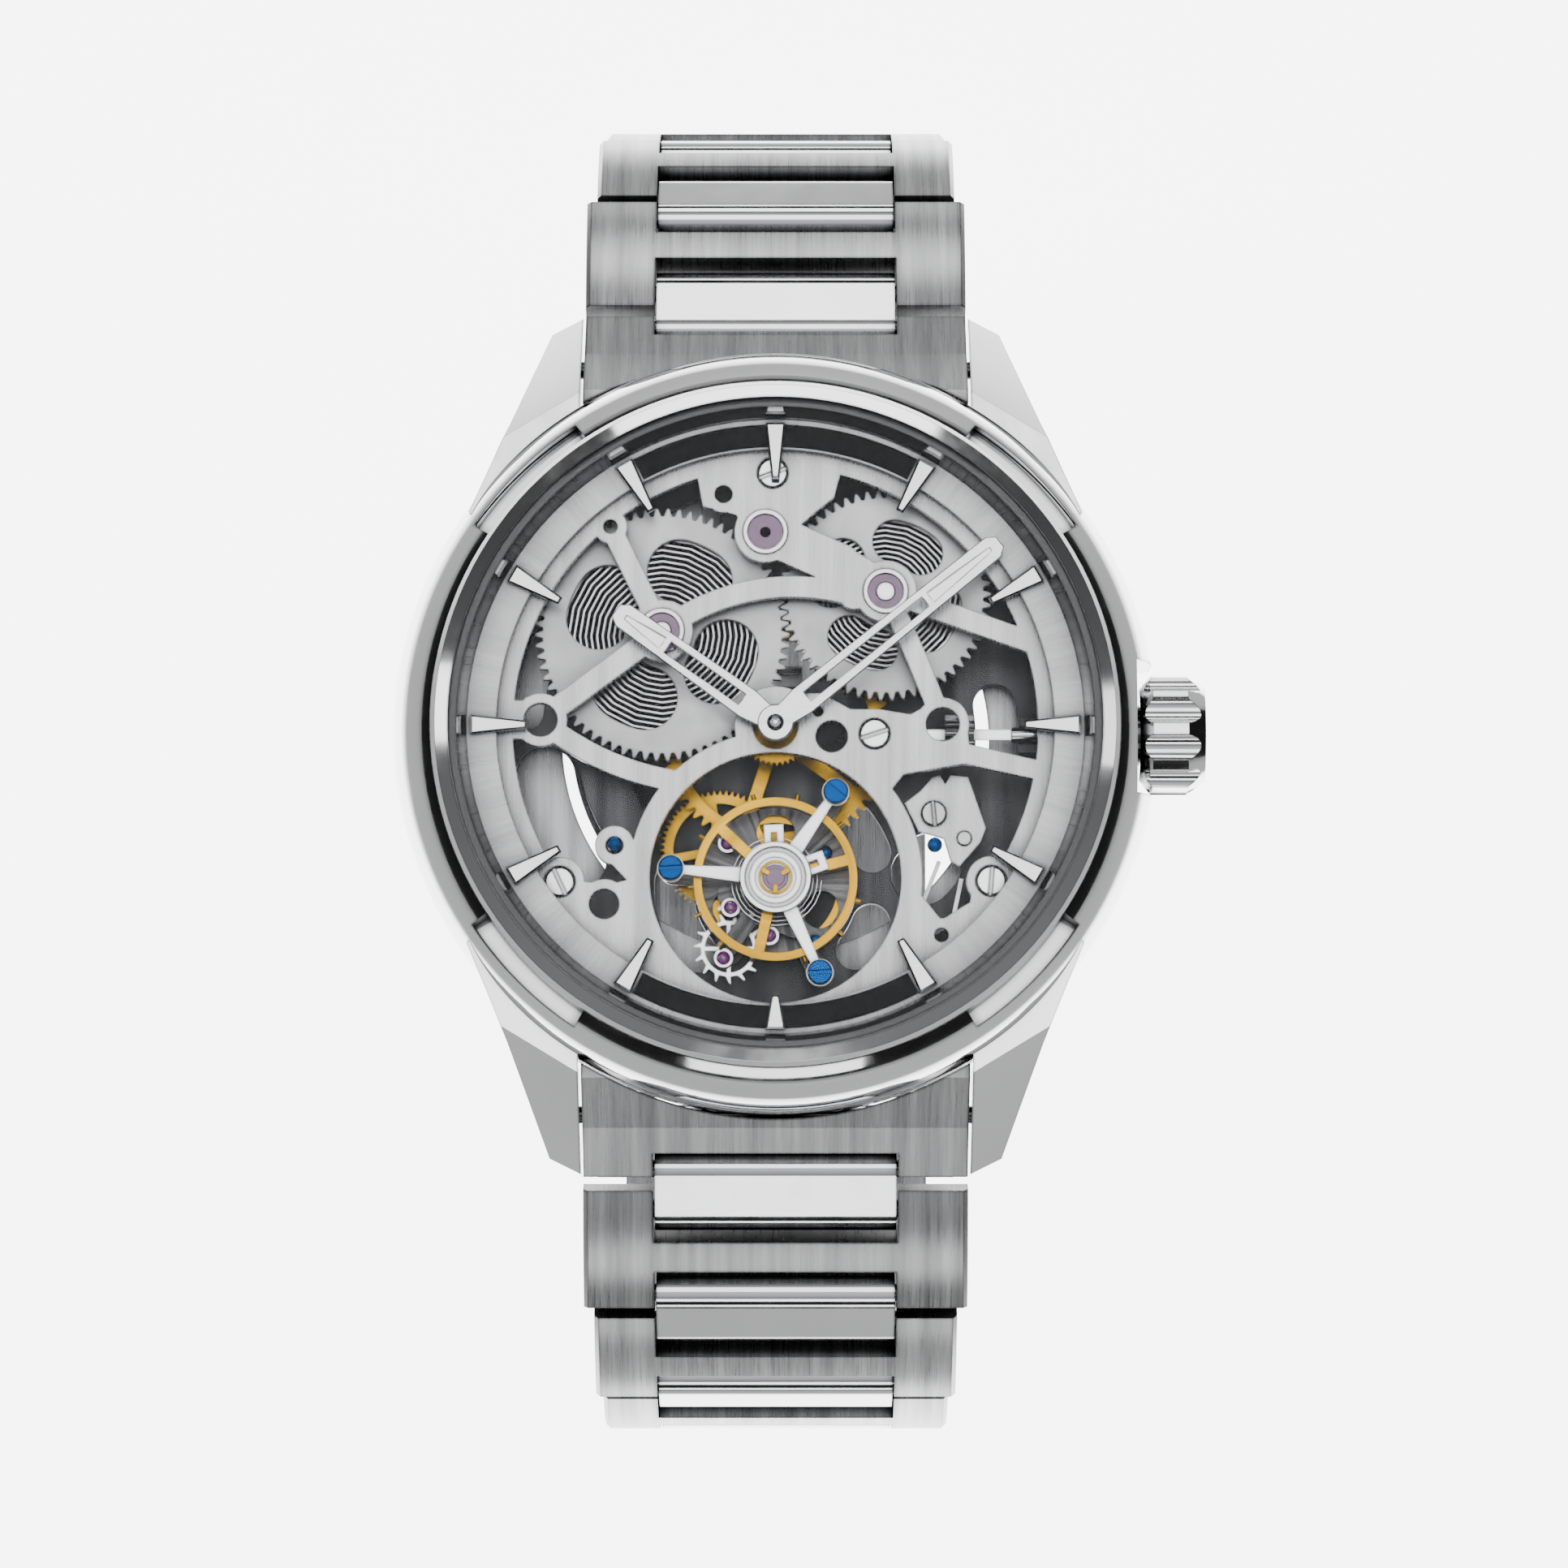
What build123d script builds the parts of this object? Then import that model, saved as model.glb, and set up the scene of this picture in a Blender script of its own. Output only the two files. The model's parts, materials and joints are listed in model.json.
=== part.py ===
from build123d import *

import math
import os

# Skeleton tourbillon wristwatch on a steel H-link bracelet with a folding clasp.
#
# Frame: millimetres, +Z out of the dial, +Y towards 12 o'clock, +X towards the crown.
# The origin is the middle of the case back's outer face. One STEP is written for each node.

# ---------------------------------------------------------------- driving dimensions
CASE_R = 21.6            # case band, outside radius
CASE_IN_R = 16.6         # bore that the movement sits in
BEZEL_OUT_R = 19.3
CRYSTAL_R = 18.2
DIAL_OUT_R = 17.4
DIAL_IN_R = 15.65
MOVEMENT_R = 16.4
LUG_GAP = 22.2           # clear width between the lugs
LUG_TIP_Y = 24.4
CROWN_Z = 4.2            # height of the stem's axis
CROWN_X = 20.3           # inner face of the crown
CROWN_R = 3.4
CROWN_LENGTH = 4.0

MAIN_PLATE = (2.0, 3.0)  # heights of each level, bottom and top
THIRD_WHEEL = (3.2, 3.45)
CENTRE_WHEEL = (3.55, 3.8)
FIXED_WHEEL = (3.9, 4.15)
CAGE_FLOOR = (4.4, 4.75)
BARREL = (4.2, 6.2)
BARREL_TEETH = (6.2, 6.8)
MOTION_LOW = (7.0, 7.25)
MOTION_HIGH = (7.35, 7.6)
TOP_BRIDGE = (7.7, 8.5)
DIAL = (8.5, 9.2)
HOUR_HAND = (9.8, 10.1)
MINUTE_HAND = (10.3, 10.62)
CAGE_ROOF = (8.0, 8.35)
BALANCE = (6.9, 7.5)
ESCAPE = (5.4, 5.6)

BARREL_MODULE = 0.2
LEFT_TEETH = 70
RIGHT_TEETH = 58
CENTRE_PINION_TEETH = 14
CENTRE_TEETH = 64
PINION_TEETH = 8
THIRD_TEETH = 60
CENTRE_MODULE = 0.2
THIRD_MODULE = 0.11
FIXED_TEETH = 80
ESCAPE_ARM = 4.6         # cage centre to escape wheel
FIXED_MODULE = 2 * ESCAPE_ARM / (FIXED_TEETH + PINION_TEETH)
MOTION_DISTANCE = 2.55   # centre to minute wheel
CANNON_TEETH, MINUTE_TEETH = 12, 36
MINUTE_PINION_TEETH, HOUR_TEETH = 10, 40

CENTRE = (0.0, 0.0)
CAGE_Y = -8.5
CAGE = (0.0, CAGE_Y)
APERTURE_R = 7.05        # opening in the top bridge round the tourbillon
CAGE_ARM = 5.9           # cage centre to pillar
CAGE_ANGLES = (55, 175, 295)
ESCAPE_ANGLE = 235.0

LINK_PITCH = 7.5
LINK_COUNT = 7
LINK_HALF_THICK = 1.5
HINGE_1 = (24.3, -1.4)   # first bracelet hinge: Y, Z
LINK_ANGLES = (22, 52, 77, 99, 121, 143, 162)
LINK_WIDTH_1 = 22.0
LINK_WIDTH_LAST = 18.0   # width that the links narrow towards
LINK_NARROWING = 0.72    # share of the spare width that each link keeps
MIDDLE_WIDTH = 13.8
PIN_R = 0.5
RUNNING = 0.05           # radial clearance of a hinge pin

HAND_HUB_R = 1.0
HOUR_ANGLE = 144.5       # hands at 10:09, counted from +X
MINUTE_ANGLE = 39.0


def polar(radius, degrees, centre=CENTRE):
    a = math.radians(degrees)
    return (centre[0] + radius * math.cos(a), centre[1] + radius * math.sin(a))


def place_on(first, reach, second, other_reach, side):
    """The point at `reach` from first and `other_reach` from second, on the given side of the line."""
    dx, dy = second[0] - first[0], second[1] - first[1]
    gap = math.hypot(dx, dy)
    along = (gap**2 + reach**2 - other_reach**2) / (2 * gap)
    off = side * math.sqrt(reach**2 - along**2)
    return (
        first[0] + (along * dx - off * dy) / gap,
        first[1] + (along * dy + off * dx) / gap,
    )


LEFT_BARREL = polar(BARREL_MODULE * (LEFT_TEETH + CENTRE_PINION_TEETH) / 2, 139.6)
RIGHT_BARREL = polar(BARREL_MODULE * (LEFT_TEETH + RIGHT_TEETH) / 2, 10.1, LEFT_BARREL)
THIRD = place_on(
    CENTRE, CENTRE_MODULE * (CENTRE_TEETH + PINION_TEETH) / 2,
    CAGE, THIRD_MODULE * (THIRD_TEETH + PINION_TEETH) / 2, -1,
)
MINUTE_ARBOR = polar(MOTION_DISTANCE, 20)
ESCAPE_PIVOT = polar(ESCAPE_ARM, ESCAPE_ANGLE, CAGE)
PALLET_PIVOT = polar(2.3, ESCAPE_ANGLE, CAGE)

NODES = {}


# ---------------------------------------------------------------- helpers
def disc(centre, radius, low, high):
    return Pos(centre[0], centre[1], low) * extrude(Circle(radius), high - low)


def ring(centre, outer, inner, low, high):
    return Pos(centre[0], centre[1], low) * extrude(Circle(outer) - Circle(inner), high - low)


def slab(sketch, low, high):
    return Pos(0, 0, low) * extrude(sketch, high - low)


def polygon(points):
    return make_face(Polyline(*points, close=True))


def strut(start, end, width):
    """A flat bar with round ends from start to end."""
    length = math.dist(start, end)
    turn = math.degrees(math.atan2(end[1] - start[1], end[0] - start[0]))
    middle = ((start[0] + end[0]) / 2, (start[1] + end[1]) / 2)
    return Pos(*middle) * Rot(0, 0, turn) * SlotCenterToCenter(length, width)


def arc_strut(start, through, end, width):
    """A curved bar of even width with round ends."""
    bar = trace(ThreePointArc(start, through, end), width)
    return bar + Pos(*start) * Circle(width / 2) + Pos(*end) * Circle(width / 2)


def window(inner, outer, start, end, centre=CENTRE):
    """A ring-shaped sector, with its sides rounded, for cutting."""
    middle = (inner + outer) / 2
    width = outer - inner
    pad = math.degrees(width / 2 / middle)
    a, b = start + pad, end - pad
    if b <= a:
        return Pos(*polar(middle, (start + end) / 2, centre)) * Circle(width / 2)
    return arc_strut(
        polar(middle, a, centre), polar(middle, (a + b) / 2, centre), polar(middle, b, centre), width
    )


def gear_face(teeth, module, phase=0.0, backlash=0.03, bore=0.0):
    """A gear outline with straight-sided teeth that follow the involute at root, pitch and tip."""
    pitch = module * teeth / 2
    root, tip = pitch - 1.2 * module, pitch + 0.95 * module
    base = pitch * math.cos(math.radians(20))

    def involute(radius):
        a = math.acos(min(1.0, base / radius))
        return math.tan(a) - a

    half = math.pi / (2 * teeth) - backlash / pitch / 2
    spread = {r: half + involute(pitch) - involute(r) for r in (pitch, tip)}
    spread[root] = min(math.pi / teeth * 0.72, half + involute(pitch) + 0.02)
    points = []
    for k in range(teeth):
        middle = math.radians(phase) + 2 * math.pi * k / teeth
        for radius, side in ((root, -1), (pitch, -1), (tip, -1), (tip, 1), (pitch, 1), (root, 1)):
            angle = middle + side * spread[radius]
            points.append((radius * math.cos(angle), radius * math.sin(angle)))
    face = polygon(points)
    return face - Circle(bore) if bore else face


def mesh_phase(phase, teeth, other_teeth, direction):
    """The phase that puts the other gear's gap on this gear's tooth, where direction points to it."""
    share = ((direction - phase) / (360 / teeth)) % 1.0
    return direction + 180 - 360 / other_teeth * (0.5 - share)


def heading(start, end):
    return math.degrees(math.atan2(end[1] - start[1], end[0] - start[0]))


def gear(centre, face, low, high):
    return Pos(centre[0], centre[1], low) * extrude(face, high - low)


def spoked(rim_in, hub_out, spokes, width, start=0.0):
    """What to cut from a wheel to leave its rim, hub and spokes."""
    cut = Circle(rim_in) - Circle(hub_out)
    for k in range(spokes):
        cut -= strut(CENTRE, polar(rim_in + width, start + 360 * k / spokes), width)
    return cut


def spiral_strip(inner, outer, turns, width, start=0.0, per_turn=20):
    """A flat spiral strip as one closed outline."""
    count = int(turns * per_turn)
    edge = []
    for side in (-0.5, 0.5):
        line = []
        for k in range(count + 1):
            share = k / count
            radius = inner + (outer - inner) * share + side * width
            line.append(polar(radius, start + 360 * turns * share))
        edge.append(line)
    return polygon(edge[0] + edge[1][::-1])


def slotted_screw(centre, radius, low, head, shank_r=0.0, shank_low=0.0, turn=0.0):
    """A cheese-head screw with one slot."""
    body = chamfer(disc(CENTRE, radius, low, low + head).edges().sort_by(Axis.Z)[-1], 0.08)
    body -= Pos(0, 0, low + head) * Box(3 * radius, 0.16 * radius + 0.12, head * 0.9)
    if shank_r:
        body += disc(CENTRE, shank_r, shank_low, low)
    return Pos(*centre) * Rot(0, 0, turn) * body


# ---------------------------------------------------------------- case
def lug_blank():
    """One lug at upper right: its plan, crossed with a side outline square to the ridge on its back."""
    plan = Polyline(
        (LUG_GAP / 2, 16.2), (LUG_GAP / 2, LUG_TIP_Y + 0.3), (12.9, 23.8), (15.1, 17.6), (16.1, 15.1),
        (17.3, 12.2), (16.4, 10.6), close=True,
    )
    upright = Pos(0, 0, -4) * extrude(make_face(plan), 14)
    ridge = Plane(origin=(0, 0, 0), x_dir=(0.518, 0.855, 0), z_dir=(0.855, -0.518, 0))
    side = make_face(Polyline(
        (14, 9.7), (18.4, 9.0), (22.3, 6.7), (27.3, -0.7), (27.3, -2.4), (26.2, -2.9), (21, 1.0), (14, 1.8),
        close=True,
    ))
    sideways = extrude(ridge * side, 30, both=True)
    lug = upright & sideways
    lug -= disc(CENTRE, BEZEL_OUT_R + 1.0, 7.4, 12)
    return lug


def case_middle():
    profile = Polyline(
        (CASE_IN_R, 1.6), (CASE_IN_R, 7.7), (DIAL_OUT_R + 0.1, 7.7), (DIAL_OUT_R + 0.1, 9.3),
        (BEZEL_OUT_R + 0.02, 9.3), (BEZEL_OUT_R + 0.02, 10.5),
    )
    shoulder = ThreePointArc((BEZEL_OUT_R + 0.02, 10.5), (20.75, 8.9), (CASE_R, 5.6))
    band = Polyline((CASE_R, 5.6), (CASE_R, 3.2), (20.4, 1.6), (CASE_IN_R, 1.6))
    body = revolve(Plane.XZ * make_face(profile + shoulder + band), Axis.Z)
    lug = lug_blank()
    lugs = [lug, mirror(lug, Plane.YZ)]
    lugs += [mirror(one, Plane.XZ) for one in lugs]
    # a channel between the bezel and each lug
    channel = Sketch() + [
        Pos(0, 0) * (Circle(BEZEL_OUT_R + 1.05) - Circle(BEZEL_OUT_R + 0.02))
        & polygon([CENTRE, polar(30, a), polar(30, a + 23)])
        for a in (33.5, 123.5, 213.5, 303.5)
    ]
    body -= slab(channel, 7.4, 12)
    for one in lugs:
        body += one
    # crown seat, stem tube bore
    body -= Pos(CASE_R + 0.5, 0, CROWN_Z + 3) * Box(3.6, 2 * CROWN_R + 0.7, 2 * CROWN_R + 6.7)
    body -= Pos(CASE_R - 3, 0, CROWN_Z) * Rot(0, 90, 0) * Cylinder(1.3, 14)
    # bores of the bracelet's spring bars
    for y in (-21.4, 21.4):
        body -= Pos(0, y, 1.6) * Rot(0, 90, 0) * Cylinder(0.55, LUG_GAP + 2.4)
    body -= disc(CENTRE, 20.3, -1, 1.6)
    NODES["case_middle"] = body


def bezel():
    profile = Polyline(
        (DIAL_OUT_R - 0.05, 9.35), (BEZEL_OUT_R, 9.35), (BEZEL_OUT_R, 10.6), (BEZEL_OUT_R - 0.25, 11.0),
        (CRYSTAL_R + 0.1, 11.3), (CRYSTAL_R + 0.1, 10.7), (CRYSTAL_R - 0.35, 10.7), close=True,
    )
    NODES["bezel"] = revolve(Plane.XZ * make_face(profile), Axis.Z)


def crystals():
    dome = disc(CENTRE, CRYSTAL_R, 10.75, 11.5)
    dome = chamfer(dome.edges().sort_by(Axis.Z)[-1], 0.25)
    NODES["crystal"] = dome
    NODES["case_back_crystal"] = disc(CENTRE, 13.0, 0, 1.1)


def case_back():
    profile = Polyline(
        (13.1, 0), (17.2, 0), (20.2, 1.0), (20.2, 1.55), (16.5, 1.55), (12.2, 1.55), (12.2, 1.12),
        (13.1, 1.12), close=True,
    )
    body = revolve(Plane.XZ * make_face(profile), Axis.Z)
    screws = []
    for k in range(6):
        spot = polar(15.6, 30 + 60 * k)
        body -= disc(spot, 0.75, -0.1, 0.6)
        head = Rot(180, 0, 0) * slotted_screw((0, 0), 0.7, -0.55, 0.5)
        screws.append(Pos(spot[0], spot[1], 0) * head)
    NODES["case_back"] = body
    NODES["case_back_screws"] = Compound(children=screws)


def crown_parts():
    axis = Pos(CROWN_X, 0, CROWN_Z) * Rot(0, 90, 0)
    profile = Polyline((0.9, 0.3), (2.6, 0.3), (CROWN_R, 1.0), (CROWN_R, 3.0), (2.7, CROWN_LENGTH),
                       (0, CROWN_LENGTH), (0, 1.6), (0.9, 1.6), close=True)
    body = revolve(Plane.XZ * make_face(profile), Axis.Z)
    body -= ring(CENTRE, 1.75, 0.85, 0, 2.4)
    for k in range(10):
        body -= Pos(*polar(CROWN_R + 0.35, 18 + 36 * k), 2.2) * Cylinder(0.85, 6)
    NODES["crown"] = axis * body
    tube = ring(CENTRE, 1.3, 0.75, -3.6, 0) + ring(CENTRE, 1.65, 0.95, 0, 1.5)
    NODES["crown_tube"] = axis * tube
    stem = Cylinder(0.45, 8.5, align=(Align.CENTER, Align.CENTER, Align.MIN))
    square = Pos(0, 0, -5.0) * Box(0.62, 0.62, 5.0, align=(Align.CENTER, Align.CENTER, Align.MIN))
    stem = Pos(0, 0, -6.9) * stem + Pos(0, 0, -6.9) * square
    NODES["stem"] = axis * (stem - Pos(0, 0, 2.8) * Cylinder(1, 2.4))


def sliding_pinion():
    face = gear_face(14, 0.15, backlash=0.05) - Rectangle(0.72, 0.72)
    groove = Circle(0.75) - Rectangle(0.72, 0.72)
    body = extrude(face, 0.8) + Pos(0, 0, 0.8) * extrude(groove, 0.5) + Pos(0, 0, 1.3) * extrude(face, 0.35)
    NODES["sliding_pinion"] = Pos(9.6, 0, CROWN_Z) * Rot(0, 90, 0) * body


# ---------------------------------------------------------------- dial and hands
def dial():
    body = ring(CENTRE, DIAL_OUT_R, DIAL_IN_R, *DIAL)
    for start, end in ((62, 118), (242, 298)):
        recess = (Circle(DIAL_OUT_R - 0.35) - Circle(DIAL_IN_R + 0.12)) & polygon(
            [CENTRE, polar(30, start), polar(40, (start + end) / 2), polar(30, end)]
        )
        body -= slab(recess, DIAL[1] - 0.25, DIAL[1] + 1)
    NODES["dial_ring"] = body
    bars = []
    for k in range(12):
        reach = 15.2 if k == 9 else 13.95
        outer, inner = 0.55, 0.22
        root = DIAL_OUT_R - 0.3
        bar = polygon([(reach, -inner), (root, -outer), (root, outer), (reach, inner)])
        solid = Pos(0, 0, DIAL[1]) * extrude(bar, 0.45)
        solid = chamfer(solid.edges().group_by(Axis.Z)[-1], 0.12)
        bars.append(Rot(0, 0, 30 * k) * solid)
    NODES["hour_markers"] = Compound(children=bars)


def hand(length, width, split, heights, angle, bore):
    """A hand of two bars, with an open slot up to split and a closed one for the white fill beyond it."""
    low, high = heights
    half, tip = width / 2, width / 2 - 0.14
    plan = polygon([
        (0, -0.55), (1.9, -half), (length - 0.5, -tip), (length, -tip + 0.35), (length, tip - 0.35),
        (length - 0.5, tip), (1.9, half), (0, 0.55),
    ])
    plan += Circle(HAND_HUB_R)
    wide = half - 0.56
    plan -= polygon([(2.3, -half + 0.52), (split - 0.2, -wide), (split - 0.2, wide), (2.3, half - 0.52)])
    plan -= polygon([(split + 0.2, -wide), (length - 0.7, -0.1), (length - 0.7, 0.1), (split + 0.2, wide)])
    body = Pos(0, 0, low) * extrude(plan, high - low)
    section = polygon([
        (-2, low - 1), (2, low - 1), (2, low), (half, low + 0.08), (0, high), (-half, low + 0.08), (-2, low),
    ])
    roof = Pos(-3, 0, 0) * extrude(Plane.YZ * section, length + 6)
    body = (body & roof) + disc(CENTRE, HAND_HUB_R, low, high)
    return Rot(0, 0, angle) * (body - disc(CENTRE, bore, low - 1, high + 1))


def hands():
    NODES["hour_hand"] = hand(11.0, 1.75, 7.6, HOUR_HAND, HOUR_ANGLE, 0.85)
    NODES["minute_hand"] = hand(16.2, 1.7, 11.0, MINUTE_HAND, MINUTE_ANGLE, 0.42)


# ---------------------------------------------------------------- movement plates
TOP_JEWEL = (-0.57, 11.06)
LEFT_BOSS = (-13.2, 0.39)
BRIDGE_SCREWS = ((-0.16, 14.4), (-12.1, -8.75), (12.1, -8.7), (5.57, -0.4))
OPEN_HOLES = (((-13.2, 0.39), 0.95), ((-9.3, 11.35), 0.4), ((-2.93, 13.2), 0.5), ((-9.6, -10.0), 0.85),
              ((3.16, -0.55), 0.9), ((9.4, 0.15), 0.95), ((9.3, -11.75), 0.4))
JEWEL_SPOTS = (LEFT_BARREL, RIGHT_BARREL, TOP_JEWEL)
FIXED_POSTS = (20, 250, 300)


def top_bridge():
    low, high = TOP_BRIDGE
    sheet = Circle(MOVEMENT_R) - Circle(14.75)
    sheet += Pos(*CAGE) * Circle(8.25)
    sheet = sheet & Circle(MOVEMENT_R)
    sheet += Circle(2.3)
    bars = [
        strut(LEFT_BARREL, (-9.3, 11.35), 1.15), strut((-9.3, 11.35), (-10.0, 12.2), 1.7),
        strut(LEFT_BARREL, LEFT_BOSS, 1.25), strut(LEFT_BOSS, (-15.4, 0.4), 2.2),
        arc_strut(LEFT_BARREL, (-1.2, 7.75), (4.4, 7.45), 1.2), strut((4.4, 7.45), RIGHT_BARREL, 1.6),
        arc_strut(LEFT_BOSS, (-9.3, -2.0), (-5.4, -3.1), 1.2),
        strut(RIGHT_BARREL, (14.9, 4.6), 1.2), arc_strut(RIGHT_BARREL, (7.9, 4.0), (9.4, 0.15), 1.15),
        strut(TOP_JEWEL, (3.6, 9.2), 2.4), strut((3.6, 9.2), RIGHT_BARREL, 2.2),
        strut((-7.6, -8.2), (-9.03, -6.7), 1.7),
    ]
    pads = [
        polygon([(-4.6, 15.2), (-4.1, 12.5), (-2.2, 12.0), (-1.6, 10.6), (0.7, 10.8), (2.3, 12.2),
                 (3.3, 13.0), (3.9, 15.2)]),
        polygon([(0, -2), (0, 1.9), (2.6, 1.9), (4.2, 1.0), (5.8, 1.0), (7.6, 0.7), (9.4, 1.7), (10.7, 0.7),
                 (10.9, -1.0), (15.2, -2.0), (15.2, -3.1), (10.6, -2.1), (7.2, -2.7), (6.0, -4.2), (3, -3)]),
        polygon([(6.4, -12.6), (8.1, -9.4), (9.3, -10.9), (10.9, -9.9), (11.2, -7.9), (13.1, -8.0),
                 (13.6, -7.6), (12.4, -10.4), (9.6, -13.0), (5.6, -14.8)]),
        polygon([(-14.2, -6.6), (-12.6, -7.4), (-11.0, -8.7), (-9.3, -8.9), (-7.4, -8.4), (-7.6, -10.8),
                 (-5.6, -14.6), (-9.6, -13.0), (-12.4, -10.4)]),
    ]
    circles = [Pos(*p) * Circle(1.75) for p in JEWEL_SPOTS]
    circles += [Pos(*p) * Circle(r + 0.55) for p, r in OPEN_HOLES]
    circles += [Pos(*p) * Circle(1.4) for p in BRIDGE_SCREWS]
    circles.append(Pos(-9.03, -6.7) * Circle(1.1))
    for one in bars + pads + circles:
        sheet += one
    sheet = sheet & Circle(MOVEMENT_R)
    holes = [Pos(*CAGE) * Circle(APERTURE_R), Circle(1.25)]
    holes += [Pos(*p) * Circle(1.27) for p in JEWEL_SPOTS]
    holes += [Pos(*p) * Circle(r) for p, r in OPEN_HOLES]
    holes += [Pos(*p) * Circle(0.45) for p in BRIDGE_SCREWS]
    holes.append(Pos(-9.03, -6.7) * Circle(0.5))
    holes.append(Pos(*MINUTE_ARBOR) * Circle(0.3))
    for one in holes:
        sheet -= one
    body = slab(sheet, low, high)
    for spot in BRIDGE_SCREWS:
        body -= disc(spot, 0.9, high - 0.35, high + 1)
    NODES["top_bridge"] = body


def main_plate():
    low, high = MAIN_PLATE
    sheet = Circle(MOVEMENT_R)
    cuts = [
        window(11.6, 15.0, 182, 219), window(13.3, 15.0, 154, 178), window(12.2, 14.4, 104, 122),
        window(11.4, 13.8, -9, 14), window(4.7, 6.9, 166, 232, CAGE), window(4.7, 6.9, -50, -10, CAGE),
        window(4.7, 6.9, 8, 50, CAGE), window(3.2, 5.6, 150, 182, LEFT_BARREL),
        window(3.0, 6.0, 60, 118, CENTRE), window(2.8, 4.8, 20, 90, RIGHT_BARREL),
        window(2.8, 4.8, 200, 300, RIGHT_BARREL), window(3.0, 5.6, 20, 120, LEFT_BARREL),
        window(9.6, 13.2, -52, -30),
    ]
    for one in cuts:
        sheet -= one
    body = slab(sheet, low, high)
    wall = ring(CENTRE, MOVEMENT_R, 15.95, high, TOP_BRIDGE[0])
    wall -= Pos(16, 0, CROWN_Z) * Rot(0, 90, 0) * Cylinder(0.9, 4)
    body += wall
    body -= disc(CENTRE, 0.32, low - 1, high + 1)
    body -= disc(THIRD, 0.25, low - 1, high + 1)
    body -= disc(CAGE, 0.32, low - 1, high + 1)
    for spot in (LEFT_BARREL, RIGHT_BARREL):
        body -= disc(spot, 0.55, low - 1, high + 1)
    # pillars under the bridge screws, the fixed wheel's posts, the stem's saddle
    for spot in BRIDGE_SCREWS[:3]:
        body += disc(spot, 0.7, high, TOP_BRIDGE[0])
        body -= disc(spot, 0.42, 6.0, TOP_BRIDGE[0] + 1)
    for a in FIXED_POSTS:
        body += disc(polar(2.2, a, CAGE), 0.3, high, FIXED_WHEEL[0])
    saddle = Pos(14.6, 0, (high + CROWN_Z) / 2) * Box(1.6, 2.0, CROWN_Z - high)
    body += saddle - Pos(14.6, 0, CROWN_Z) * Rot(0, 90, 0) * Cylinder(0.5, 4)
    # the deck that shows behind the lower left window
    deck = (Circle(11.3) - Circle(8.6)) & polygon([CENTRE, polar(30, 190), polar(30, 222)])
    body += slab(deck - Pos(*CAGE) * Circle(7.1), high, 5.4)
    NODES["main_plate"] = body


def small_fittings():
    high = TOP_BRIDGE[1]
    rings = [ring(p, 1.25, 1.02, TOP_BRIDGE[0] + 0.1, high + 0.12) for p in JEWEL_SPOTS]
    NODES["jewel_settings"] = Compound(children=rings)
    stones = [ring(p, 1.0, 0.55, TOP_BRIDGE[0] + 0.2, high - 0.15) for p in JEWEL_SPOTS[:2]]
    stones.append(ring(TOP_JEWEL, 1.0, 0.3, TOP_BRIDGE[0] + 0.2, high - 0.15))
    stones += [ring(p, 0.6, r, MAIN_PLATE[0] - 0.12, MAIN_PLATE[0] - 0.01)
               for p, r in ((CENTRE, 0.3), (THIRD, 0.23), (CAGE, 0.3))]
    NODES["jewels"] = Compound(children=stones)
    screws = [slotted_screw(p, 0.82, high - 0.33, 0.36, 0.38, 6.2, turn)
              for p, turn in zip(BRIDGE_SCREWS, (20, -65, 85, 18))]
    NODES["bridge_screws"] = Compound(children=screws)


def keyless_works():
    """The setting lever's cover plate with its screw and post, and the hairpin spring beside it."""
    low = 5.0
    plan = polygon([(7.3, -4.0), (8.2, -3.3), (8.9, -2.5), (9.3, -2.4), (9.6, -2.9), (9.9, -2.4),
                    (10.9, -2.5), (11.9, -5.4), (11.6, -6.2), (10.4, -7.6), (9.9, -7.3), (9.5, -6.0),
                    (8.1, -5.6)])
    plan += Pos(8.95, -4.6) * Circle(1.15)
    plan -= Pos(10.67, -6.0) * Circle(0.42)
    plate = slab(plan, low, low + 0.4)
    screw = slotted_screw((8.95, -4.6), 0.72, low + 0.41, 0.3, 0, 0, 95)
    post = disc((10.67, -6.0), 0.38, MAIN_PLATE[1], low + 0.55)
    leg = disc((8.95, -4.6), 0.6, MAIN_PLATE[1], low)
    NODES["setting_cover"] = Compound(children=[plate + leg, screw, post])
    loop = trace(Polyline((9.25, -7.3), (8.1, -10.2)), 0.24)
    loop += trace(Polyline((10.5, -8.3), (10.1, -10.2)), 0.24)
    loop += Pos(9.1, -10.2) * (Circle(1.12) - Circle(0.88) - Pos(0, 1.5) * Rectangle(4, 3))
    NODES["setting_spring"] = slab(loop, low, low + 0.5) + disc((9.1, -11.2), 0.25, MAIN_PLATE[1], low + 0.5)


# ---------------------------------------------------------------- power and train
def barrel(name, centre, teeth, phase, arms):
    scale = BARREL_MODULE * teeth / 2
    root = scale - 1.2 * BARREL_MODULE
    rim = scale - 1.45
    cover = gear_face(teeth, BARREL_MODULE, phase, bore=0.62)
    span = 360 / arms
    for k in range(arms):
        cover -= window(1.9, rim, 20 + k * span + 7, 20 + (k + 1) * span - 7)
    body = gear(centre, cover, *BARREL_TEETH)
    body += ring(centre, root - 0.05, root - 0.4, *BARREL)
    body += ring(centre, root - 0.05, 0.62, BARREL[0], BARREL[0] + 0.3)
    NODES[name] = body
    return root - 0.4


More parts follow.
